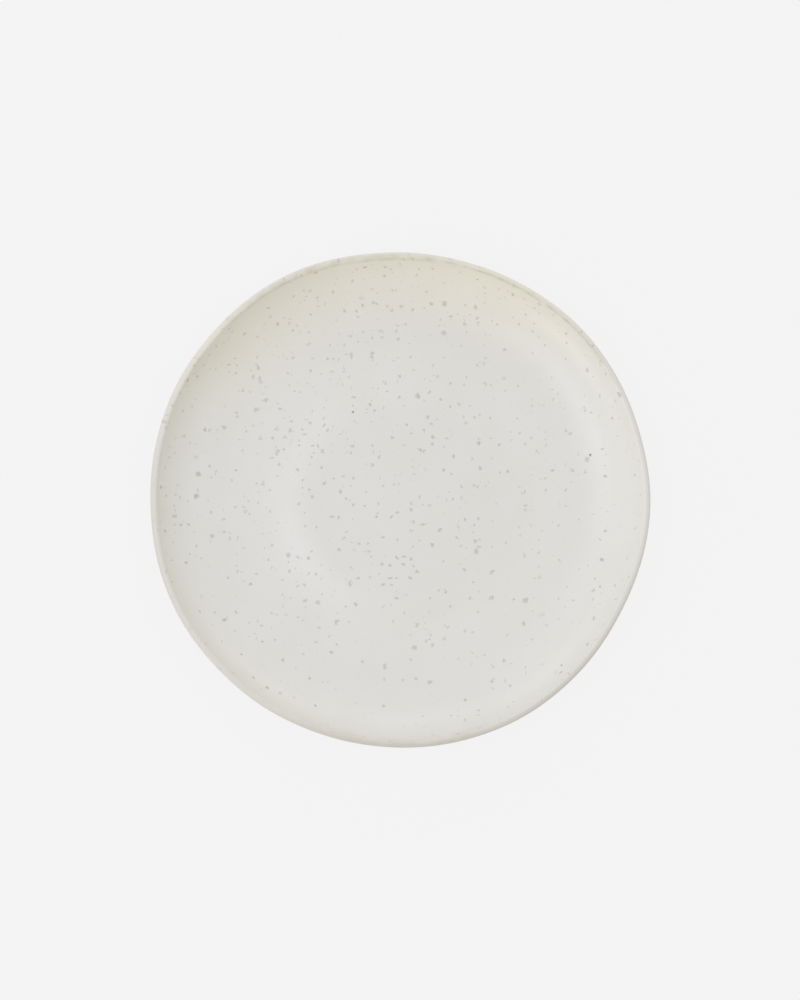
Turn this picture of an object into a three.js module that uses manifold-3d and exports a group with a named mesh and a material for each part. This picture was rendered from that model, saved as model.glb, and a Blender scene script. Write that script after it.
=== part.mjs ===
// A stoneware breakfast plate of the coupe kind: a flat well, a coved wall and a thin rounded lip, thrown
// and turned in one piece with its foot ring, then dipped in glaze. The foot is wiped dry before firing,
// which parts the glaze into the coat that runs over the rim and the patch inside the foot ring, so the plate
// has three bodies. Millimetres, +Z up. The origin is the middle of the foot ring, on the table.
import * as THREE from "three";
import { mergeVertices } from "three/addons/utils/BufferGeometryUtils.js";
import Module from "manifold-3d";

// Driving dimensions
const PLATE_DIAMETER = 220; // across the rim, over the glaze
const PLATE_HEIGHT = 24; // from the table to the crest of the rim, over the glaze
const GLAZE_THICKNESS = 0.4;

const FLOOR_THICKNESS = 5; // clay under the well
const CROWN_RISE = 1.8; // the middle of the well stands this much above its outer part
const CROWN_SHOULDER = 24; // width of the soft slope that runs round the crown, over the foot ring

const WALL_RUN = 30; // from the edge of the flat well out to the crest of the rim
const WALL_SLOPE = 64; // degrees from level, inside the wall at the crest
const OUTSIDE_RUN = 43; // from where the underside begins to rise out to the rim
const OUTSIDE_SLOPE = 84; // degrees from level, outside the wall at the lip

const LIP_WIDTH = 2.2; // clay, from the crest to the outside
const LIP_SLOPE = 5; // degrees that the lip falls towards the outside
const LIP_ROUND = 1.4; // the lip rolls softly into the outside
const CREST_ROUND = 0.6; // its inner edge is crisper

const FOOT_INSET = 24.5; // from the edge of the flat well in to the outside of the foot ring
const FOOT_WIDTH = 5.5;
const FOOT_HEIGHT = 2.8; // from the table to the clay under the base
const FOOT_FILLET = 1.4; // where the foot meets the base
const FOOT_EDGE = 0.5; // rounding of the edges that stand on the table
const GLAZE_LINE = 0.9; // height of the wiped edge of the glaze on the foot

// Hand turning leaves the rim a little out of round: each lobe swells it a number of times on the way round,
// and one of its swellings lies at the bearing, in degrees from +X towards +Y.
const RIM_LOBES = [
  { swell: 0.41, count: 2, bearing: -30 },
  { swell: 0.25, count: 3, bearing: 20 },
  { swell: 0.34, count: 4, bearing: 30 },
  { swell: 0.12, count: 5, bearing: -9 },
  { swell: 0.15, count: 6, bearing: -7 },
  { swell: 0.13, count: 7, bearing: -2 },
];

const FACETS = 60; // round the plate
const CURVE_STEP = 6; // length of a facet along a large curve of the half-section
const ROUND_STEPS = 2; // least number of facets on any curve of the half-section

const { degToRad, smoothstep } = THREE.MathUtils;
const wallSlope = degToRad(WALL_SLOPE);
const outsideSlope = degToRad(OUTSIDE_SLOPE);
const lipSlope = degToRad(LIP_SLOPE);

// What rounding a corner takes off its reach, from how steeply its two sides fall away from that reach
const roundingLoss = (round, sideA, sideB) => (round * sideA * sideB) / (sideA + sideB);

// The half-section of the clay: x is the radius and y is the height
const clayRadius = PLATE_DIAMETER / 2 - GLAZE_THICKNESS;
const clayTop = PLATE_HEIGHT - GLAZE_THICKNESS;
const outerCornerX = clayRadius + roundingLoss(LIP_ROUND, Math.cos(lipSlope), Math.cos(outsideSlope));
const crest = new THREE.Vector2(
  outerCornerX - LIP_WIDTH,
  clayTop + roundingLoss(CREST_ROUND, Math.sin(wallSlope), Math.sin(lipSlope)),
);
const outerCorner = new THREE.Vector2(outerCornerX, crest.y - LIP_WIDTH * Math.tan(lipSlope));
const baseHeight = FOOT_HEIGHT;
const wellHeight = baseHeight + FLOOR_THICKNESS;
const crownHeight = wellHeight + CROWN_RISE;
const wellRadius = crest.x - WALL_RUN;
const footOutside = wellRadius - FOOT_INSET;
const footInside = footOutside - FOOT_WIDTH;
const footMiddle = (footOutside + footInside) / 2;

// The glazed outside, rim and well: from the glaze line on the foot, out under the plate, up, over the rim
// and in to the axis
function coatedPath() {
  const wallCorner = crest.x - (crest.y - wellHeight) / Math.tan(wallSlope);
  const outsideCorner = outerCorner.x - (outerCorner.y - baseHeight) / Math.tan(outsideSlope);
  const crownInside = footMiddle - CROWN_SHOULDER / 2;
  const crownOutside = footMiddle + CROWN_SHOULDER / 2;
  const path = new THREE.Path();
  path.moveTo(footOutside, GLAZE_LINE);
  path.lineTo(footOutside, baseHeight - FOOT_FILLET);
  path.quadraticCurveTo(footOutside, baseHeight, footOutside + FOOT_FILLET, baseHeight);
  path.lineTo(outerCorner.x - OUTSIDE_RUN, baseHeight);
  path.quadraticCurveTo(
    outsideCorner,
    baseHeight,
    outerCorner.x - LIP_ROUND * Math.cos(outsideSlope),
    outerCorner.y - LIP_ROUND * Math.sin(outsideSlope),
  );
  path.quadraticCurveTo(
    outerCorner.x,
    outerCorner.y,
    outerCorner.x - LIP_ROUND * Math.cos(lipSlope),
    outerCorner.y + LIP_ROUND * Math.sin(lipSlope),
  );
  path.lineTo(crest.x + CREST_ROUND * Math.cos(lipSlope), crest.y - CREST_ROUND * Math.sin(lipSlope));
  path.quadraticCurveTo(
    crest.x,
    crest.y,
    crest.x - CREST_ROUND * Math.cos(wallSlope),
    crest.y - CREST_ROUND * Math.sin(wallSlope),
  );
  path.quadraticCurveTo(wallCorner, wellHeight, wellRadius, wellHeight);
  path.lineTo(crownOutside, wellHeight);
  path.quadraticCurveTo((footMiddle + crownOutside) / 2, wellHeight, footMiddle, wellHeight + CROWN_RISE / 2);
  path.quadraticCurveTo((footMiddle + crownInside) / 2, crownHeight, crownInside, crownHeight);
  path.lineTo(0, crownHeight);
  return path;
}

// The foot's dry stretch, from the glaze line inside the ring to the one outside it
function dryPath() {
  const path = new THREE.Path();
  path.moveTo(footInside, GLAZE_LINE);
  path.lineTo(footInside, FOOT_EDGE);
  path.quadraticCurveTo(footInside, 0, footInside + FOOT_EDGE, 0);
  path.lineTo(footOutside - FOOT_EDGE, 0);
  path.quadraticCurveTo(footOutside, 0, footOutside, FOOT_EDGE);
  path.lineTo(footOutside, GLAZE_LINE);
  return path;
}

// The glazed recess under the base, from the axis out and down to the glaze line inside the ring
function recessPath() {
  const path = new THREE.Path();
  path.moveTo(0, baseHeight);
  path.lineTo(footInside - FOOT_FILLET, baseHeight);
  path.quadraticCurveTo(footInside, baseHeight, footInside, baseHeight - FOOT_FILLET);
  path.lineTo(footInside, GLAZE_LINE);
  return path;
}

// Points along a path: a line has its ends alone, and a curve has more the longer it is
function outline(path) {
  const points = [path.curves[0].getPoint(0)];
  for (const curve of path.curves) {
    const steps = curve.isLineCurve ? 1 : Math.max(ROUND_STEPS, Math.round(curve.getLength() / CURVE_STEP));
    points.push(...curve.getPoints(steps).slice(1));
  }
  return points;
}

// An outline moved outwards by the glaze's thickness, square to the clay. Each point moves along the mitre
// of the two stretches that meet there. At the axis and at the glaze line it moves square to the one stretch
// that it has.
function glazed(points) {
  const sides = points.slice(1).map((point, i) => {
    const along = point.clone().sub(points[i]).normalize();
    return new THREE.Vector2(along.y, -along.x);
  });
  return points.map((point, i) => {
    const before = sides[Math.max(i - 1, 0)];
    const after = sides[Math.min(i, sides.length - 1)];
    const mitre = before.clone().add(after);
    const reach = GLAZE_THICKNESS / (1 + before.dot(after));
    return point.clone().addScaledVector(mitre, reach);
  });
}

// The wall swells and dips with its lobes, fully at the rim and not at all on the flat well and the foot
function turnOutOfRound(geometry) {
  const position = geometry.attributes.position;
  for (let i = 0; i < position.count; i += 1) {
    const x = position.getX(i);
    const y = position.getY(i);
    const bearing = Math.atan2(y, x);
    const share = smoothstep(Math.hypot(x, y), wellRadius, clayRadius);
    let swell = 0;
    for (const lobe of RIM_LOBES) {
      swell += lobe.swell * Math.cos(lobe.count * (bearing - degToRad(lobe.bearing)));
    }
    position.setX(i, x + share * swell * Math.cos(bearing));
    position.setY(i, y + share * swell * Math.sin(bearing));
  }
}

const wasm = await Module();
wasm.setup();

// A half-section turned about the axis, as a solid
function turned(halfSection) {
  const lathe = new THREE.LatheGeometry(halfSection, FACETS);
  lathe.rotateX(Math.PI / 2);
  turnOutOfRound(lathe);
  lathe.deleteAttribute("normal");
  lathe.deleteAttribute("uv");
  const merged = mergeVertices(lathe);
  const mesh = new wasm.Mesh({
    numProp: 3,
    vertProperties: merged.attributes.position.array,
    triVerts: new Uint32Array(merged.index.array),
  });
  return new wasm.Manifold(mesh);
}

function namedMesh(name, solid, material) {
  const { vertProperties, triVerts } = solid.getMesh();
  const geometry = new THREE.BufferGeometry();
  geometry.setAttribute("position", new THREE.BufferAttribute(vertProperties, 3));
  geometry.setIndex(new THREE.BufferAttribute(triVerts, 1));
  geometry.computeVertexNormals();
  const mesh = new THREE.Mesh(geometry, material);
  mesh.name = name;
  return mesh;
}

const stoneware = new THREE.MeshStandardMaterial({ color: "#c9bda6", roughness: 0.9, metalness: 0 });
const coatGlaze = new THREE.MeshStandardMaterial({ color: "#dbdcd5", roughness: 0.45, metalness: 0 });
const recessGlaze = new THREE.MeshStandardMaterial({ color: "#d8d8cf", roughness: 0.45, metalness: 0 });

const recess = outline(recessPath());
const dry = outline(dryPath());
const coated = outline(coatedPath());

// The clay, from the axis under the base round to the axis in the well
const clay = turned([...recess, ...dry.slice(1), ...coated.slice(1)]);

// Each glaze is the glazed outline, closed inside the clay, less the clay
const middleOfFloor = baseHeight + FLOOR_THICKNESS / 2;
const heartAtFoot = new THREE.Vector2(footMiddle, GLAZE_LINE);
const heartAtFloor = new THREE.Vector2(footMiddle, middleOfFloor);
const heartAtAxis = new THREE.Vector2(0, middleOfFloor);
const coat = turned([heartAtAxis, heartAtFloor, heartAtFoot, ...glazed(coated)]).subtract(clay);
const patch = turned([...glazed(recess), heartAtFoot, heartAtFloor, heartAtAxis]).subtract(clay);

const plate = new THREE.Group();
plate.add(
  namedMesh("stoneware_body", clay, stoneware),
  namedMesh("glaze_coat", coat, coatGlaze),
  namedMesh("base_glaze", patch, recessGlaze),
);

export default plate;
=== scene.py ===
"""A speckled stoneware breakfast plate, seen almost straight from above on a pale floor.

The plate is one piece of turned clay under two areas of glaze. Each of the three is drawn as a half-section
and spun about the plate's axis, finer than the solid that it stands for, and then pressed a little out of
round.
"""

import math

import bpy
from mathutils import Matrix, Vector


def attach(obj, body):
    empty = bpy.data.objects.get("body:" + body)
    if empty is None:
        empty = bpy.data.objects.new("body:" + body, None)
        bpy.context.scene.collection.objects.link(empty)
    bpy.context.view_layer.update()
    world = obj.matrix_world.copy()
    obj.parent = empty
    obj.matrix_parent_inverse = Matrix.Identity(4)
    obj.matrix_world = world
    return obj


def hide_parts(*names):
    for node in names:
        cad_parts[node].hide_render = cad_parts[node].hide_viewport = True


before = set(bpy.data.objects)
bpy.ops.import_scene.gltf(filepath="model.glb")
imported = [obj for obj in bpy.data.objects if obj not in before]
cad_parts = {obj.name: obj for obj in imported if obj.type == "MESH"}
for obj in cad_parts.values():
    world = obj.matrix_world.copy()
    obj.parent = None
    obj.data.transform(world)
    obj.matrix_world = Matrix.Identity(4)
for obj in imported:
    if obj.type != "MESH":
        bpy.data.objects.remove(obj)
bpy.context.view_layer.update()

MM = 0.001

# Sizes of the plate, as it was turned
PLATE_DIAMETER = 220 * MM  # across the rim, over the glaze
PLATE_HEIGHT = 24 * MM  # from the table to the crest of the rim, over the glaze
GLAZE_THICKNESS = 0.4 * MM

FLOOR_THICKNESS = 5 * MM  # clay under the well
CROWN_RISE = 1.8 * MM  # the middle of the well stands this much above its outer part
CROWN_SHOULDER = 24 * MM  # width of the soft slope round the crown, over the foot ring

WALL_RUN = 30 * MM  # from the edge of the flat well out to the crest of the rim
WALL_SLOPE = math.radians(64)  # from level, inside the wall at the crest
OUTSIDE_RUN = 43 * MM  # from where the underside begins to rise out to the rim
OUTSIDE_SLOPE = math.radians(84)  # from level, outside the wall at the lip

LIP_WIDTH = 2.2 * MM  # clay, from the crest to the outside
LIP_SLOPE = math.radians(5)  # the lip falls towards the outside
LIP_ROUND = 1.4 * MM  # it rolls softly into the outside
CREST_ROUND = 0.6 * MM  # its inner edge is crisper

FOOT_INSET = 24.5 * MM  # from the edge of the flat well in to the outside of the foot ring
FOOT_WIDTH = 5.5 * MM
FOOT_HEIGHT = 2.8 * MM  # from the table to the clay under the base
FOOT_FILLET = 1.4 * MM  # where the foot meets the base
FOOT_EDGE = 0.5 * MM  # rounding of the edges that stand on the table
GLAZE_LINE = 0.9 * MM  # height of the wiped edge of the glaze on the foot

# How far the rim swells, how many times on the way round, and the bearing of one swelling, in degrees from
# +X towards +Y. The last four are too fine for the solids: they are the tremor of a hand on the wet rim.
RIM_LOBES = (
    (0.41 * MM, 2, -30),
    (0.25 * MM, 3, 20),
    (0.34 * MM, 4, 30),
    (0.12 * MM, 5, -9),
    (0.15 * MM, 6, -7),
    (0.13 * MM, 7, -2),
    (0.07 * MM, 8, -13),
    (0.12 * MM, 9, -2),
    (0.04 * MM, 12, -4),
    (0.04 * MM, 17, 3),
)

# How finely a piece is drawn
SPIN_STEPS = 256  # round the plate
FINE_PITCH = 1.6 * MM  # between points along an outline that shows
HIDDEN_PITCH = 5 * MM  # and along one between the clay and the glaze
BEND_STEPS = 8  # least number of steps on a bend
MERGE_DISTANCE = 0.005 * MM
SMOOTH_ANGLE = math.radians(40)


def rounding_loss(round_size, side_a, side_b):
    """What rounding a corner takes off its reach, from how steeply its sides fall away from that reach."""
    return round_size * side_a * side_b / (side_a + side_b)


# Places on the half-section of the clay, where x is the radius and y is the height
CLAY_RADIUS = PLATE_DIAMETER / 2 - GLAZE_THICKNESS
CLAY_TOP = PLATE_HEIGHT - GLAZE_THICKNESS
OUTER_X = CLAY_RADIUS + rounding_loss(LIP_ROUND, math.cos(LIP_SLOPE), math.cos(OUTSIDE_SLOPE))
CREST = Vector((
    OUTER_X - LIP_WIDTH,
    CLAY_TOP + rounding_loss(CREST_ROUND, math.sin(WALL_SLOPE), math.sin(LIP_SLOPE)),
))
OUTER_CORNER = Vector((OUTER_X, CREST.y - LIP_WIDTH * math.tan(LIP_SLOPE)))
BASE_HEIGHT = FOOT_HEIGHT
WELL_HEIGHT = BASE_HEIGHT + FLOOR_THICKNESS
CROWN_HEIGHT = WELL_HEIGHT + CROWN_RISE
WELL_RADIUS = CREST.x - WALL_RUN
FOOT_OUTSIDE = WELL_RADIUS - FOOT_INSET
FOOT_INSIDE = FOOT_OUTSIDE - FOOT_WIDTH
FOOT_MIDDLE = (FOOT_OUTSIDE + FOOT_INSIDE) / 2
CROWN_INSIDE = FOOT_MIDDLE - CROWN_SHOULDER / 2
CROWN_OUTSIDE = FOOT_MIDDLE + CROWN_SHOULDER / 2


def heading(angle):
    """A step of length 1 on the half-section, at an angle up from level."""
    return Vector((math.cos(angle), math.sin(angle)))


def traced(start, legs, pitch):
    """Points about a pitch apart along an outline. A straight leg is given by its end, and a bend by its
    corner and its end."""
    points = [Vector(start)]
    for *corner, end in legs:
        begin = points[-1]
        end = Vector(end)
        middle = Vector(corner[0]) if corner else (begin + end) / 2
        least = BEND_STEPS if corner else 1
        steps = max(least, math.ceil((end - begin).length / pitch))
        for i in range(1, steps + 1):
            t = i / steps
            points.append(begin * (1 - t) ** 2 + middle * (2 * t * (1 - t)) + end * t ** 2)
    return points


def coated_outline(pitch):
    """The clay under the coat, from the glaze line on the foot out, over the rim and in to the axis."""
    wall_corner = CREST.x - (CREST.y - WELL_HEIGHT) / math.tan(WALL_SLOPE)
    outside_corner = OUTER_CORNER.x - (OUTER_CORNER.y - BASE_HEIGHT) / math.tan(OUTSIDE_SLOPE)
    return traced((FOOT_OUTSIDE, GLAZE_LINE), (
        [(FOOT_OUTSIDE, BASE_HEIGHT - FOOT_FILLET)],
        [(FOOT_OUTSIDE, BASE_HEIGHT), (FOOT_OUTSIDE + FOOT_FILLET, BASE_HEIGHT)],
        [(OUTER_CORNER.x - OUTSIDE_RUN, BASE_HEIGHT)],
        [(outside_corner, BASE_HEIGHT), OUTER_CORNER - LIP_ROUND * heading(OUTSIDE_SLOPE)],
        [OUTER_CORNER, OUTER_CORNER - LIP_ROUND * heading(-LIP_SLOPE)],
        [CREST + CREST_ROUND * heading(-LIP_SLOPE)],
        [CREST, CREST - CREST_ROUND * heading(WALL_SLOPE)],
        [(wall_corner, WELL_HEIGHT), (WELL_RADIUS, WELL_HEIGHT)],
        [(CROWN_OUTSIDE, WELL_HEIGHT)],
        [((FOOT_MIDDLE + CROWN_OUTSIDE) / 2, WELL_HEIGHT), (FOOT_MIDDLE, WELL_HEIGHT + CROWN_RISE / 2)],
        [((FOOT_MIDDLE + CROWN_INSIDE) / 2, CROWN_HEIGHT), (CROWN_INSIDE, CROWN_HEIGHT)],
        [(0, CROWN_HEIGHT)],
    ), pitch)


def dry_outline(pitch):
    """The foot's bare stretch, from the glaze line inside the ring to the one outside it."""
    return traced((FOOT_INSIDE, GLAZE_LINE), (
        [(FOOT_INSIDE, FOOT_EDGE)],
        [(FOOT_INSIDE, 0), (FOOT_INSIDE + FOOT_EDGE, 0)],
        [(FOOT_OUTSIDE - FOOT_EDGE, 0)],
        [(FOOT_OUTSIDE, 0), (FOOT_OUTSIDE, FOOT_EDGE)],
        [(FOOT_OUTSIDE, GLAZE_LINE)],
    ), pitch)


def recess_outline(pitch):
    """The glazed clay under the base, from the axis out and down to the glaze line inside the ring."""
    return traced((0, BASE_HEIGHT), (
        [(FOOT_INSIDE - FOOT_FILLET, BASE_HEIGHT)],
        [(FOOT_INSIDE, BASE_HEIGHT), (FOOT_INSIDE, BASE_HEIGHT - FOOT_FILLET)],
        [(FOOT_INSIDE, GLAZE_LINE)],
    ), pitch)


def glazed(points):
    """An outline moved out by the glaze's thickness, square to the clay."""
    moved = []
    for i, point in enumerate(points):
        along = points[min(i + 1, len(points) - 1)] - points[max(i - 1, 0)]
        along.normalize()
        moved.append(point + GLAZE_THICKNESS * Vector((along.y, -along.x)))
    return moved


# The glaze, and the shade painted on it, change on stretches of the rim. A stretch is the bearing of its
# middle and its half-width, both in degrees. A reach is how far the change goes: it is full up to the first
# length, and gone past the second.

# Where the crest breaks the glaze, and where shade is painted on the inner half of the lip: a stretch, the
# reach from the crest, and how strongly it shows
CREST_BREAKS_AND_SHADE = (
    ((60, 38), (0, 1.1 * MM), 1),
    # painted shade: the inner half of the lip at the back is darker and yellower
    ((106, 36), (0.9 * MM, 2.3 * MM), 0.6),
)

# Where the lip breaks the glaze, and where the lip is darker, partly from glaze run thin and partly from
# painted
# shade that is strongest on the near side: the reach inwards from the outside of the rim for each, and down
# from its top for both
LIP_BREAK = (268, 28)
LIP_BREAK_REACH = (1.1 * MM, 6.6 * MM)
LIP_BREAK_STRENGTH = 0.4
SHADED_THIN_LIP = (250, 110)
SHADED_THIN_LIP_REACH = (1.1 * MM, 4 * MM)
LEAST_LIP_DARKENING = 0.25  # on the rest of the lip
LIP_DEPTH = (2 * MM, 6 * MM)

# Where a warm tint is painted inside the far wall, standing in for warm light in its shade, with the reach
# inwards from the outside of the rim
WARM_WALL = (100, 72)
WARM_WALL_REACH = (5 * MM, 48 * MM)

# Where shade is painted in the middle of the well, over the crown, with the reach out from the axis
WELL_SHADE_REACH = (CROWN_INSIDE, FOOT_MIDDLE)


def fade(value, full, none):
    """1 up to a full value, falling softly to 0 from there."""
    share = min(max((none - value) / (none - full), 0), 1)
    return share * share * (3 - 2 * share)


def within(bearing, stretch):
    """How far a bearing lies within a stretch of the rim, from 0 outside it to 1 in its middle half."""
    middle, half_width = stretch
    apart = abs((bearing - middle + 180) % 360 - 180)
    return fade(apart, half_width / 2, half_width)


def mark_glaze_and_shade(piece):
    """Stores the painted shade in the middle of the well, the warm tint painted in the shade of the far wall,
    where the lip is darker from glaze run thin and from painted shade, and where the crest and the lip broke
    the glaze, with painted shade on the inner half of the lip at the back."""
    crest = Vector((CREST.x, PLATE_HEIGHT))
    names = ("well_shade", "warm", "thin", "broken_and_shaded")
    for name in names:
        piece.data.attributes.new(name, "FLOAT", "POINT")
    marks = {name: piece.data.attributes[name].data for name in names}
    for i, vertex in enumerate(piece.data.vertices):
        x, y, height = vertex.co
        radius = math.hypot(x, y)
        bearing = math.degrees(math.atan2(y, x))
        inwards = PLATE_DIAMETER / 2 - radius
        in_well = height > WELL_HEIGHT
        faces_up = vertex.normal.z > 0
        # Painted shade: darker and greyer in the middle of the well
        marks["well_shade"][i].value = fade(radius, *WELL_SHADE_REACH) * in_well
        # A warm tint painted in the shade of the far wall, on its inside only
        marks["warm"][i].value = fade(inwards, *WARM_WALL_REACH) * within(bearing, WARM_WALL) * faces_up

        on_lip = fade(PLATE_HEIGHT - height, *LIP_DEPTH)
        # The lip is darker where its glaze ran thin all round, and with painted shade towards the near side
        thinning = LEAST_LIP_DARKENING + (1 - LEAST_LIP_DARKENING) * within(bearing, SHADED_THIN_LIP)
        marks["thin"][i].value = fade(inwards, *SHADED_THIN_LIP_REACH) * on_lip * thinning

        # The second crest stretch is painted shade on the inner half of the lip, not a break
        off_crest = (Vector((radius, height)) - crest).length
        crest_break_and_shade = max(
            strength * fade(off_crest, *reach) * within(bearing, stretch)
            for stretch, reach, strength in CREST_BREAKS_AND_SHADE
        )
        lip_break = fade(inwards, *LIP_BREAK_REACH) * on_lip * within(bearing, LIP_BREAK)
        marks["broken_and_shaded"][i].value = max(crest_break_and_shade, LIP_BREAK_STRENGTH * lip_break)


def press_out_of_round(piece):
    """Hand turning leaves the wall out of round, fully at the rim and not at all on the well and the foot."""
    for vertex in piece.data.vertices:
        x, y = vertex.co.xy
        bearing = math.atan2(y, x)
        share = 1 - fade(math.hypot(x, y), WELL_RADIUS, CLAY_RADIUS)
        swell = 0
        for size, count, swollen in RIM_LOBES:
            swell += size * math.cos(count * (bearing - math.radians(swollen)))
        vertex.co.x += share * swell * math.cos(bearing)
        vertex.co.y += share * swell * math.sin(bearing)


def turned_piece(name, outline):
    """A piece turned about the plate's axis: one point is drawn along the outline, and the line is spun."""
    bpy.ops.object.select_all(action="DESELECT")
    bpy.ops.mesh.primitive_plane_add(size=MM)
    piece = bpy.context.object
    piece.name = name
    piece.data.name = name
    bpy.ops.object.mode_set(mode="EDIT")
    bpy.ops.mesh.select_all(action="SELECT")
    bpy.ops.mesh.merge(type="CENTER")
    bpy.ops.transform.translate(value=(outline[0].x, 0, outline[0].y))
    for begin, end in zip(outline, outline[1:]):
        step = (end.x - begin.x, 0, end.y - begin.y)
        bpy.ops.mesh.extrude_region_move(TRANSFORM_OT_translate={"value": step})
    bpy.ops.mesh.select_all(action="SELECT")
    bpy.ops.mesh.spin(steps=SPIN_STEPS, angle=math.tau, center=(0, 0, 0), axis=(0, 0, 1))
    bpy.ops.mesh.select_all(action="SELECT")
    bpy.ops.mesh.remove_doubles(threshold=MERGE_DISTANCE)
    bpy.ops.mesh.normals_make_consistent(inside=False)
    bpy.ops.object.mode_set(mode="OBJECT")
    mark_glaze_and_shade(piece)
    press_out_of_round(piece)
    bpy.ops.object.shade_smooth_by_angle(angle=SMOOTH_ANGLE)
    return piece


def linear(hex_colour):
    """An sRGB hex colour as linear red, green, blue and alpha."""
    channels = [int(hex_colour[i:i + 2], 16) / 255 for i in (1, 3, 5)]
    return [c / 12.92 if c <= 0.04045 else ((c + 0.055) / 1.055) ** 2.4 for c in channels] + [1]


def node(tree, kind, inputs=None, **settings):
    """Adds a node with its settings. An input is a value, or another node's output that it is linked to."""
    made = tree.nodes.new(kind)
    for name, value in settings.items():
        setattr(made, name, value)
    for name, value in (inputs or {}).items():
        if isinstance(value, bpy.types.NodeSocket):
            tree.links.new(value, made.inputs[name])
        else:
            made.inputs[name].default_value = value
    return made


def new_material(name):
    """A material with nothing in its node tree yet."""
    material = bpy.data.materials.new(name)
    material.use_nodes = True
    material.node_tree.nodes.clear()
    return material, material.node_tree


# Sockets of a Mix node that mixes colours
MIX_FACTOR, MIX_UNDER, MIX_OVER, MIXED = 0, 6, 7, 2

CERAMIC_IOR = 1.5

# Iron specks are grains on a scattered grid: the grid's spacing, the radius of the smallest and of the
# largest grain, and the share of the grid's places that hold one
COMMON_SPECKS = {"spacing": 3 * MM, "smallest": 0.42 * MM, "largest": 1.12 * MM, "share": 0.5}
LARGE_SPECKS = {"spacing": 7 * MM, "smallest": 0.9 * MM, "largest": 1.7 * MM, "share": 0.4}
PIN_SPECKS = {"spacing": 12 * MM, "smallest": 0.45 * MM, "largest": 0.8 * MM, "share": 0.3}
SPECK_CORE = 0.45  # share of a grain's radius that shows at its full strength
FAINTEST_SPECK = 0.45  # strength of the faintest grain, where the strongest has 1


def specks(tree, place, growth, spacing, smallest, largest, share):
    """How strongly a speck shows at a place, from 0 outside it to 1 in the core of a strong one."""
    grains = node(tree, "ShaderNodeTexVoronoi", {"Vector": place, "Scale": 1 / spacing}).outputs
    chance = node(tree, "ShaderNodeSeparateColor", {"Color": grains["Color"]}).outputs
    held = node(tree, "ShaderNodeMath", {0: growth, 1: share, 2: share}, operation="MULTIPLY_ADD").outputs[0]
    chosen = node(tree, "ShaderNodeMath", {0: chance["Red"], 1: held}, operation="LESS_THAN").outputs[0]
    reach = node(tree, "ShaderNodeMapRange", {
        "Value": chance["Green"],
        "To Min": smallest / spacing,
        "To Max": largest / spacing,
    }).outputs[0]
    core = node(tree, "ShaderNodeMath", {0: reach, 1: SPECK_CORE}, operation="MULTIPLY").outputs[0]
    strength = node(tree, "ShaderNodeMapRange", {
        "Value": chance["Blue"],
        "To Min": FAINTEST_SPECK,
        "To Max": 1,
    }).outputs[0]
    shown = node(tree, "ShaderNodeMath", {0: strength, 1: chosen}, operation="MULTIPLY").outputs[0]
    return node(tree, "ShaderNodeMapRange", {
        "Value": grains["Distance"],
        "From Min": reach,
        "From Max": core,
        "To Max": shown,
    }, interpolation_type="SMOOTHSTEP").outputs[0]


# The spatter fell thickest beyond the middle of the well, and in clumps: by how much the share of places
# grows at that spot and shrinks at the end of its reach, and by how much a clump changes it
SPATTER_SPOT = (-32 * MM, 42 * MM, WELL_HEIGHT)
SPATTER_REACH = 130 * MM
SPATTER_GROWTH = 0.85
SPATTER_LOSS = -0.45
CLUMP_WIDTH = 11 * MM
CLUMPING = 1

# The glaze's other patterns: how wide each is, and how far it goes
BLEED_WIDTH = 1.6 * MM  # the ragged edges of the specks
BLEED_REACH = 2.8 * MM
CLOUD_WIDTH = 18 * MM  # the slow change of the ground
BLOTCH_WIDTH = 5 * MM  # the patches where it breaks
BLOTCH_NOISE = (0.35, 0.65)
BLOTCH_SHARE = (0.12, 0.55)
PEEL_WIDTH = 2.5 * MM  # the faint unevenness of its skin
PEEL_DEPTH = 0.03 * MM
GLAZE_ROUGHNESS = 0.4
SPECK_ROUGHNESS = 0.5


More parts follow.
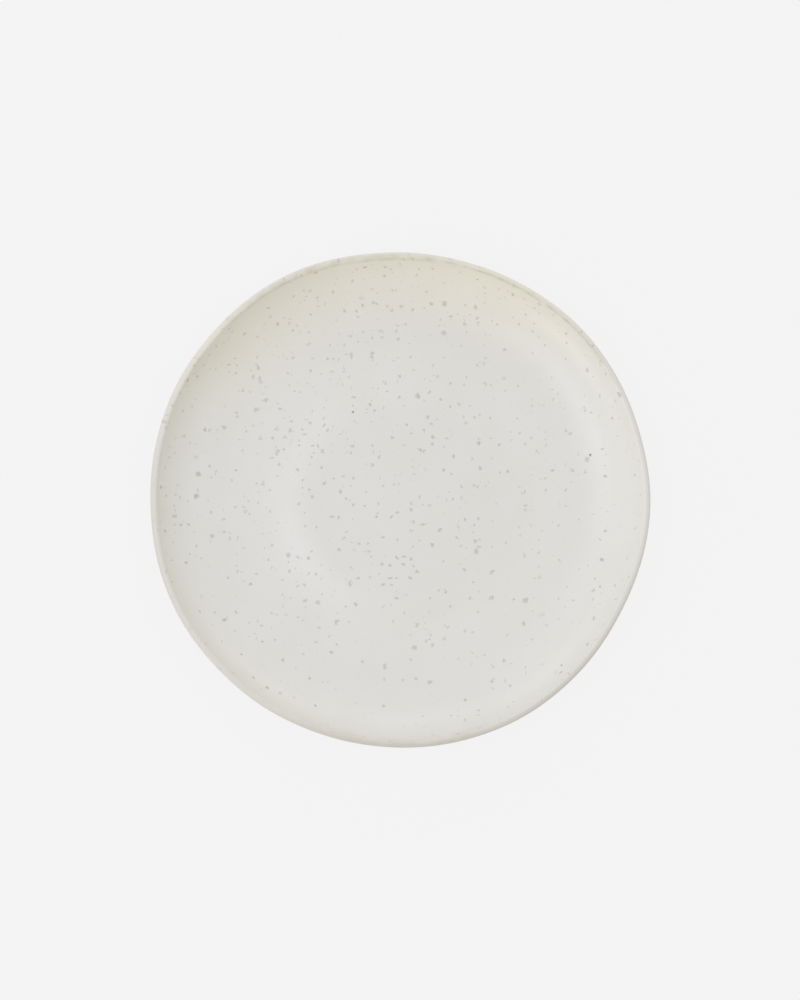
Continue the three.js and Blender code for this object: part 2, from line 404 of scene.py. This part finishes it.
def satin_glaze():
    """Off-white stoneware glaze, dipped and fired to a satin. Iron from the clay bleeds up through it in soft
    grey specks, and it runs thin and turns olive where it breaks over the crest of the rim. Shade is painted
    on it
    too: in the middle of the well, on the lip towards the near side and on the inner half of the lip at the
    back, with a warm tint painted in the shade of the far wall."""
    material, tree = new_material("satin_off_white_glaze")
    place = node(tree, "ShaderNodeTexCoord").outputs["Object"]

    bleed = node(tree, "ShaderNodeTexNoise", {"Vector": place, "Scale": 1 / BLEED_WIDTH, "Detail": 2})
    ragged = node(tree, "ShaderNodeVectorMath", {
        0: bleed.outputs["Color"],
        1: [BLEED_REACH] * 3,
        2: place,
    }, operation="MULTIPLY_ADD").outputs[0]
    off_spot = node(tree, "ShaderNodeVectorMath", {0: place, 1: SPATTER_SPOT}, operation="DISTANCE")
    spatter = node(tree, "ShaderNodeMapRange", {
        "Value": off_spot.outputs["Value"],
        "From Max": SPATTER_REACH,
        "To Min": SPATTER_GROWTH,
        "To Max": SPATTER_LOSS,
    }).outputs[0]
    clumps = node(tree, "ShaderNodeTexNoise", {"Vector": place, "Scale": 1 / CLUMP_WIDTH, "Detail": 1})
    gathered = node(tree, "ShaderNodeMapRange", {
        "Value": clumps.outputs["Fac"],
        "To Min": -CLUMPING,
        "To Max": CLUMPING,
    }).outputs[0]
    growth = node(tree, "ShaderNodeMath", {0: spatter, 1: gathered}, operation="ADD").outputs[0]
    common = specks(tree, ragged, growth, **COMMON_SPECKS)
    large = specks(tree, ragged, growth, **LARGE_SPECKS)
    pins = specks(tree, ragged, growth, **PIN_SPECKS)
    soft = node(tree, "ShaderNodeMath", {0: common, 1: large}, operation="MAXIMUM").outputs[0]

    clouds = node(tree, "ShaderNodeTexNoise", {"Vector": place, "Scale": 1 / CLOUD_WIDTH, "Detail": 3})
    ground = node(tree, "ShaderNodeMix", {
        MIX_FACTOR: clouds.outputs["Fac"],
        MIX_UNDER: linear("#DDDED8"),
        MIX_OVER: linear("#D9D9D1"),
    }, data_type="RGBA").outputs[MIXED]
    flecked = node(tree, "ShaderNodeMix", {
        MIX_FACTOR: soft,
        MIX_UNDER: ground,
        MIX_OVER: linear("#B9B7B0"),
    }, data_type="RGBA").outputs[MIXED]
    glaze = node(tree, "ShaderNodeMix", {
        MIX_FACTOR: pins,
        MIX_UNDER: flecked,
        MIX_OVER: linear("#5F5C56"),
    }, data_type="RGBA").outputs[MIXED]

    blotches = node(tree, "ShaderNodeTexNoise", {"Vector": place, "Scale": 1 / BLOTCH_WIDTH, "Detail": 3})
    patchy = node(tree, "ShaderNodeMapRange", {
        "Value": blotches.outputs["Fac"],
        "From Min": BLOTCH_NOISE[0],
        "From Max": BLOTCH_NOISE[1],
        "To Min": BLOTCH_SHARE[0],
        "To Max": BLOTCH_SHARE[1],
    }).outputs[0]
    # Painted shade in the middle of the well, a warm tint painted in the shade of the far wall, a lip
    # darkened partly by thin glaze and partly by painted shade, and the breaks, with painted shade on the
    # lip's inner half
    for mark, colour, share in (
        ("well_shade", "#C9CAC5", 0.16),
        ("warm", "#E8DEAC", 0.16),
        ("thin", "#CBC9BF", 0.85),
        ("broken_and_shaded", "#A29E82", patchy),
    ):
        marked = node(tree, "ShaderNodeAttribute", attribute_name=mark).outputs["Fac"]
        amount = node(tree, "ShaderNodeMath", {0: marked, 1: share}, operation="MULTIPLY").outputs[0]
        glaze = node(tree, "ShaderNodeMix", {
            MIX_FACTOR: amount,
            MIX_UNDER: glaze,
            MIX_OVER: linear(colour),
        }, data_type="RGBA").outputs[MIXED]

    sheen = node(tree, "ShaderNodeMapRange", {
        "Value": soft,
        "To Min": GLAZE_ROUGHNESS,
        "To Max": SPECK_ROUGHNESS,
    }).outputs[0]
    peel = node(tree, "ShaderNodeTexNoise", {"Vector": place, "Scale": 1 / PEEL_WIDTH, "Detail": 1})
    relief = node(tree, "ShaderNodeBump", {"Height": peel.outputs["Fac"], "Distance": PEEL_DEPTH})
    shader = node(tree, "ShaderNodeBsdfPrincipled", {
        "Base Color": glaze,
        "Roughness": sheen,
        "IOR": CERAMIC_IOR,
        "Normal": relief.outputs["Normal"],
    })
    node(tree, "ShaderNodeOutputMaterial", {"Surface": shader.outputs["BSDF"]})
    return material


# Real grit is finer. It is drawn as coarse as this so that it shows.
GRIT_WIDTH = 0.9 * MM
GRIT_DEPTH = 0.15 * MM
CLAY_ROUGHNESS = 0.85


def fired_stoneware():
    """Bare stoneware on the foot ring, sponged and fired: warm beige, dry and gritty, with iron specks."""
    material, tree = new_material("fired_stoneware")
    place = node(tree, "ShaderNodeTexCoord").outputs["Object"]
    grit = node(tree, "ShaderNodeTexNoise", {"Vector": place, "Scale": 1 / GRIT_WIDTH, "Detail": 4})
    clay = node(tree, "ShaderNodeMix", {
        MIX_FACTOR: grit.outputs["Fac"],
        MIX_UNDER: linear("#B9AC93"),
        MIX_OVER: linear("#D8CDB8"),
    }, data_type="RGBA").outputs[MIXED]
    iron = specks(tree, place, 0, **COMMON_SPECKS)
    flecked = node(tree, "ShaderNodeMix", {
        MIX_FACTOR: iron,
        MIX_UNDER: clay,
        MIX_OVER: linear("#7E6B52"),
    }, data_type="RGBA").outputs[MIXED]
    relief = node(tree, "ShaderNodeBump", {"Height": grit.outputs["Fac"], "Distance": GRIT_DEPTH})
    shader = node(tree, "ShaderNodeBsdfPrincipled", {
        "Base Color": flecked,
        "Roughness": CLAY_ROUGHNESS,
        "IOR": CERAMIC_IOR,
        "Normal": relief.outputs["Normal"],
    })
    node(tree, "ShaderNodeOutputMaterial", {"Surface": shader.outputs["BSDF"]})
    return material


def make_plate():
    """The clay, its coat of glaze and the glaze inside the foot ring, each in the place of its solid."""
    glaze = satin_glaze()
    stoneware = fired_stoneware()

    recess = recess_outline(FINE_PITCH)
    coated = coated_outline(FINE_PITCH)
    dry = dry_outline(FINE_PITCH)
    hidden_recess = recess_outline(HIDDEN_PITCH)
    hidden_coated = coated_outline(HIDDEN_PITCH)

    clay = turned_piece("plate_clay", hidden_recess + dry[1:] + hidden_coated[1:])
    clay.data.materials.append(stoneware)
    coat = turned_piece("plate_glaze", list(reversed(hidden_coated)) + glazed(coated))
    coat.data.materials.append(glaze)
    patch = turned_piece("plate_base_glaze", glazed(recess) + list(reversed(hidden_recess)))
    patch.data.materials.append(glaze)

    for piece, cad_node, slot in (
        (clay, "stoneware_body", "stoneware"),
        (coat, "glaze_coat", "glaze"),
        (patch, "base_glaze", "glaze"),
    ):
        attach(piece, "root")
        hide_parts(cad_node)


# The photograph's frame, and where the plate lies in it
IMAGE_WIDTH = 800
PLATE_WIDTH_PIXELS = 500
CAMERA_ELEVATION = math.radians(85)
CAMERA_DISTANCE = 1200 * MM
SENSOR_WIDTH = 36  # in millimetres, as the lens is
AIM = Vector((0.3 * MM, -1.3 * MM, PLATE_HEIGHT))  # what the middle of the frame shows


def make_camera():
    """Looks down on the rim from the near side. The rim's width in the frame sets the focal length."""
    bpy.ops.object.camera_add()
    camera = bpy.context.object
    toward = Vector((0, -math.cos(CAMERA_ELEVATION), math.sin(CAMERA_ELEVATION)))
    camera.location = AIM + CAMERA_DISTANCE * toward
    camera.rotation_euler = (-toward).to_track_quat("-Z", "Y").to_euler()
    frame_width = PLATE_DIAMETER * IMAGE_WIDTH / PLATE_WIDTH_PIXELS
    camera.data.sensor_fit = "HORIZONTAL"
    camera.data.sensor_width = SENSOR_WIDTH
    camera.data.lens = SENSOR_WIDTH * CAMERA_DISTANCE / frame_width
    bpy.context.scene.camera = camera


def seen_directly(tree):
    """1 for rays that show the background itself, straight, in a gloss or through glass, and 0 for the light
    that it sends on."""
    path = node(tree, "ShaderNodeLightPath").outputs
    straight_or_gloss = node(tree, "ShaderNodeMath", {
        0: path["Is Camera Ray"],
        1: path["Is Glossy Ray"],
    }, operation="MAXIMUM").outputs[0]
    return node(tree, "ShaderNodeMath", {
        0: straight_or_gloss,
        1: path["Is Transmission Ray"],
    }, operation="MAXIMUM").outputs[0]


FLOOR_SIZE = 8000 * MM
FLOOR_DROP = 0.02 * MM  # keeps the floor just clear of the foot
PAPER = "#CCCCCC"
EVEN_TONE = "#F6F6F6"
SHADOWLESS_SHARE = 0.93  # of what the floor shows, where the rest takes the shadow


def make_floor():
    """A pale paper floor. Where it is seen it shows an even tone and a faint shadow, and it lights the plate
    as plain paper does."""
    bpy.ops.object.select_all(action="DESELECT")
    bpy.ops.mesh.primitive_plane_add(size=FLOOR_SIZE, location=(0, 0, -FLOOR_DROP))
    floor = bpy.context.object
    floor.name = "floor"
    material, tree = new_material("pale_paper_floor")
    paper = node(tree, "ShaderNodeBsdfDiffuse", {"Color": linear(PAPER)}).outputs["BSDF"]
    even = node(tree, "ShaderNodeEmission", {"Color": linear(EVEN_TONE), "Strength": 1}).outputs["Emission"]
    share = node(tree, "ShaderNodeMath", {
        0: seen_directly(tree),
        1: SHADOWLESS_SHARE,
    }, operation="MULTIPLY").outputs[0]
    mix = node(tree, "ShaderNodeMixShader", {0: share, 1: paper, 2: even})
    node(tree, "ShaderNodeOutputMaterial", {"Surface": mix.outputs[0]})
    floor.data.materials.append(material)


BACKDROP = "#F3F3F3"
AMBIENT_COLOUR = "#FFFBF1"
AMBIENT_STRENGTH = 0.724


def make_world():
    """Even light from all round, and a backdrop with a tone of its own where it is seen."""
    world = bpy.data.worlds.new("studio")
    bpy.context.scene.world = world
    world.use_nodes = True
    tree = world.node_tree
    tree.nodes.clear()
    ambient = node(tree, "ShaderNodeBackground", {
        "Color": linear(AMBIENT_COLOUR),
        "Strength": AMBIENT_STRENGTH,
    }).outputs["Background"]
    backdrop = node(tree, "ShaderNodeBackground", {
        "Color": linear(BACKDROP),
        "Strength": 1,
    }).outputs["Background"]
    mix = node(tree, "ShaderNodeMixShader", {0: seen_directly(tree), 1: ambient, 2: backdrop})
    node(tree, "ShaderNodeOutputWorld", {"Surface": mix.outputs[0]})


# Soft boxes round the plate: bearing and elevation in degrees, colour, and power in watts
SOFT_BOXES = {
    "key_light": (195, 64, "#DEDEFF", 5.6),
    "low_side_light": (217, 10, "#FFF8EE", 5.0),
    "left_light": (130, 10, "#FFF8F4", 2.2),
    "far_light": (95, 26, "#C0D4FF", 2.3),
    "warm_bounce": (56, 10, "#FFEED4", 2.9),
    "right_light": (0, 64, "#DEDEFF", 1.7),
}
SOFT_BOX_SIZE = 600 * MM
SOFT_BOX_DISTANCE = 1500 * MM


def make_soft_boxes():
    """Square area lamps that all face the plate."""
    for name, (bearing, elevation, colour, power) in SOFT_BOXES.items():
        bpy.ops.object.light_add(type="AREA")
        lamp = bpy.context.object
        lamp.name = name
        around = math.radians(bearing)
        above = math.radians(elevation)
        toward = Vector((
            math.cos(around) * math.cos(above),
            math.sin(around) * math.cos(above),
            math.sin(above),
        ))
        lamp.location = toward * SOFT_BOX_DISTANCE
        lamp.rotation_euler = (-toward).to_track_quat("-Z", "Y").to_euler()
        lamp.data.shape = "SQUARE"
        lamp.data.size = SOFT_BOX_SIZE
        lamp.data.color = linear(colour)[:3]
        lamp.data.energy = power


make_plate()
make_floor()
make_camera()
make_world()
make_soft_boxes()

bpy.context.scene.view_settings.view_transform = "Standard"
